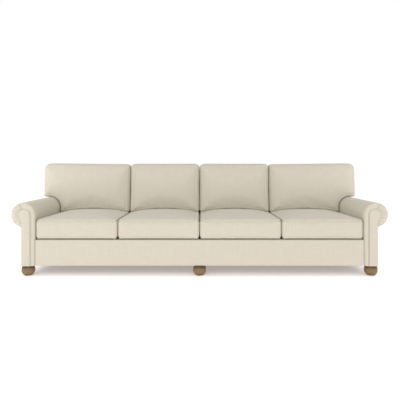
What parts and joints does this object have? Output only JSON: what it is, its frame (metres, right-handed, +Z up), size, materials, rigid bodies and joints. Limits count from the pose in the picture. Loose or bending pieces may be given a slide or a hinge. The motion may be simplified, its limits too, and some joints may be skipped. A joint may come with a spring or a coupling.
{
  "type": "rolled arm sofa",
  "caption": "Long upholstered sofa with rolled arms, loose box seat cushions, loose back cushions with ears over the arms, and turned bun feet.",
  "frame": {"origin": "on the floor, at the middle of the sofa's footprint", "axes": "+X to the right of someone facing the sofa, +Y to its back, +Z up"},
  "size_m": [3.048, 0.96, 0.908],
  "materials": {
    "upholstery_fabric": "matte",
    "cushion_filling": "matte",
    "deck_cloth": "matte",
    "webbing": "matte",
    "dust_cloth": "matte",
    "frame_wood": "matte",
    "foot_wood": "satin",
    "spring_steel": "satin",
    "zinc_steel": "satin",
    "glide_plastic": "matte"
  },
  "bodies": {
    "frame": {"arm_backing_boards": "frame_wood", "arm_front_panel_left": "upholstery_fabric", "arm_front_panel_right": "upholstery_fabric", "arm_front_post_left": "frame_wood", "arm_front_post_right": "frame_wood", "arm_pad_left": "upholstery_fabric", "arm_pad_right": "upholstery_fabric", "arm_top_rail_left": "frame_wood", "arm_top_rail_right": "frame_wood", "arm_welt_left": "upholstery_fabric", "arm_welt_right": "upholstery_fabric", "back_lower_rail": "frame_wood", "back_pad": "upholstery_fabric", "back_post_left": "frame_wood", "back_post_right": "frame_wood", "back_seat_rail": "frame_wood", "back_side_panels": "upholstery_fabric", "back_top_rail": "frame_wood", "back_uprights": "frame_wood", "back_webbing": "webbing", "bun_foot_front_centre": "foot_wood", "bun_foot_front_left": "foot_wood", "bun_foot_front_right": "foot_wood", "bun_foot_rear_centre": "foot_wood", "bun_foot_rear_left": "foot_wood", "bun_foot_rear_right": "foot_wood", "corner_blocks": "frame_wood", "dust_cover": "dust_cloth", "foot_bolts": "zinc_steel", "foot_glides": "glide_plastic", "foot_inserts": "zinc_steel", "frame_screws": "zinc_steel", "front_rail_cover": "upholstery_fabric", "front_seat_rail": "frame_wood", "outside_arm_panel_left": "upholstery_fabric", "outside_arm_panel_right": "upholstery_fabric", "outside_back_panel": "upholstery_fabric", "seat_deck": "deck_cloth", "seat_springs": "spring_steel", "seat_stretchers": "frame_wood", "side_seat_rail_left": "frame_wood", "side_seat_rail_right": "frame_wood", "spring_clips": "spring_steel", "spring_tie_wires": "spring_steel"},
    "seat_cushion_1": {"seat_cushion_cover_1": "upholstery_fabric", "seat_cushion_core_1": "cushion_filling"},
    "back_cushion_1": {"back_cushion_cover_1": "upholstery_fabric", "back_cushion_core_1": "cushion_filling"},
    "seat_cushion_2": {"seat_cushion_cover_2": "upholstery_fabric", "seat_cushion_core_2": "cushion_filling"},
    "back_cushion_2": {"back_cushion_cover_2": "upholstery_fabric", "back_cushion_core_2": "cushion_filling"},
    "seat_cushion_3": {"seat_cushion_cover_3": "upholstery_fabric", "seat_cushion_core_3": "cushion_filling"},
    "back_cushion_3": {"back_cushion_cover_3": "upholstery_fabric", "back_cushion_core_3": "cushion_filling"},
    "seat_cushion_4": {"seat_cushion_cover_4": "upholstery_fabric", "seat_cushion_core_4": "cushion_filling"},
    "back_cushion_4": {"back_cushion_cover_4": "upholstery_fabric", "back_cushion_core_4": "cushion_filling"}
  },
  "joints": [
    {"name": "seat_cushion_1_slide", "type": "slide", "parent": "frame", "child": "seat_cushion_1", "axis": [0, -1, 0], "range_m": [0, 0.75]},
    {"name": "seat_cushion_2_slide", "type": "slide", "parent": "frame", "child": "seat_cushion_2", "axis": [0, -1, 0], "range_m": [0, 0.75]},
    {"name": "seat_cushion_3_slide", "type": "slide", "parent": "frame", "child": "seat_cushion_3", "axis": [0, -1, 0], "range_m": [0, 0.75]},
    {"name": "seat_cushion_4_slide", "type": "slide", "parent": "frame", "child": "seat_cushion_4", "axis": [0, -1, 0], "range_m": [0, 0.75]},
    {"name": "back_cushion_1_lift", "type": "slide", "parent": "frame", "child": "back_cushion_1", "axis": [0, 0, 1], "range_m": [0, 0.42]},
    {"name": "back_cushion_2_lift", "type": "slide", "parent": "frame", "child": "back_cushion_2", "axis": [0, 0, 1], "range_m": [0, 0.42]},
    {"name": "back_cushion_3_lift", "type": "slide", "parent": "frame", "child": "back_cushion_3", "axis": [0, 0, 1], "range_m": [0, 0.42]},
    {"name": "back_cushion_4_lift", "type": "slide", "parent": "frame", "child": "back_cushion_4", "axis": [0, 0, 1], "range_m": [0, 0.42]}
  ]
}
